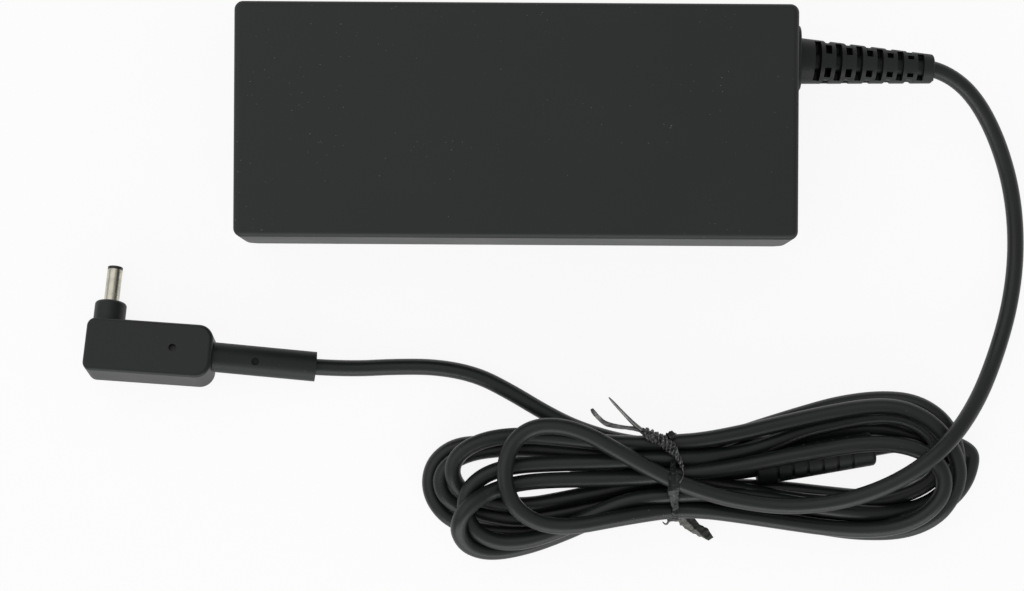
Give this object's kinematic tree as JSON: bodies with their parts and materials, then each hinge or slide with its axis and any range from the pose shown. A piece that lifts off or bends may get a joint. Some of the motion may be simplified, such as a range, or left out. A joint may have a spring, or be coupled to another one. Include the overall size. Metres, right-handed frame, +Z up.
{
  "type": "laptop power adapter",
  "caption": "Black laptop power adapter: flat brick, slotted strain relief and a thin DC lead tied in a hank, ending in a right-angle barrel plug.",
  "frame": {"origin": "middle of the brick's underside", "axes": "+X along the brick towards the DC lead, +Y away from the hank, +Z up out of the top cover"},
  "size_m": [0.1874, 0.1086, 0.0295],
  "materials": {
    "case_plastic": "fine matt texture",
    "moulded_pvc": "matt",
    "cord_jacket": "satin",
    "plug_mould_plastic": "matt",
    "tie_plastic": "satin",
    "inlet_plastic": "semi-gloss",
    "inlet_pin_metal": "nickel plate",
    "barrel_nickel": "nickel plate",
    "insulator_plastic": "gloss",
    "contact_brass": "bright",
    "board_laminate": "solder mask",
    "fuse_plastic": "gloss",
    "disc_varnish": "varnish",
    "film_yellow": "gloss",
    "ferrite_grey": "matt",
    "copper_wire": "varnished copper",
    "package_epoxy": "matt",
    "can_aluminium": "satin",
    "sink_aluminium": "mill",
    "silicone_pad": "matt",
    "screw_steel": "zinc",
    "bobbin_plastic": "matt",
    "tape_yellow": "satin",
    "film_clear": "gloss",
    "wire_red": "satin",
    "wire_black": "satin"
  },
  "bodies": {
    "root": {"bottom_cover": "case_plastic", "bridge_rectifier": "package_epoxy", "bridging_capacitor": "disc_varnish", "bulk_capacitor": "can_aluminium", "choke_core": "ferrite_grey", "choke_sleeve": "moulded_pvc", "choke_winding_line": "copper_wire", "choke_winding_neutral": "copper_wire", "controller_chip": "package_epoxy", "cord_hank": "cord_jacket", "cord_lead": "cord_jacket", "cord_tail": "cord_jacket", "dc_strain_relief": "moulded_pvc", "ferrite_bead": "ferrite_grey", "fuse": "fuse_plastic", "inlet_housing": "inlet_plastic", "inlet_pin_earth": "inlet_pin_metal", "inlet_pin_line": "inlet_pin_metal", "inlet_pin_neutral": "inlet_pin_metal", "inrush_thermistor": "package_epoxy", "insulating_film": "film_clear", "insulating_pad": "silicone_pad", "lower_heat_spreader": "sink_aluminium", "main_board": "board_laminate", "noise_capacitor": "film_yellow", "optocoupler": "package_epoxy", "output_capacitor_first": "can_aluminium", "output_capacitor_second": "can_aluminium", "output_choke_core": "ferrite_grey", "output_choke_winding": "copper_wire", "output_lead_negative": "wire_black", "output_lead_positive": "wire_red", "output_rectifier": "package_epoxy", "output_rectifier_screw": "screw_steel", "plug_barrel": "barrel_nickel", "plug_body": "plug_mould_plastic", "plug_centre_contact": "contact_brass", "plug_insulator": "insulator_plastic", "plug_sleeve": "moulded_pvc", "power_transistor": "package_epoxy", "power_transistor_screw": "screw_steel", "primary_heatsink": "sink_aluminium", "secondary_heatsink": "sink_aluminium", "surge_absorber": "disc_varnish", "top_cover": "case_plastic", "transformer_bobbin": "bobbin_plastic", "transformer_core": "ferrite_grey", "transformer_tape": "tape_yellow", "transformer_winding": "copper_wire", "twist_tie": "tie_plastic", "upper_heat_spreader": "sink_aluminium"}
  },
  "joints": []
}
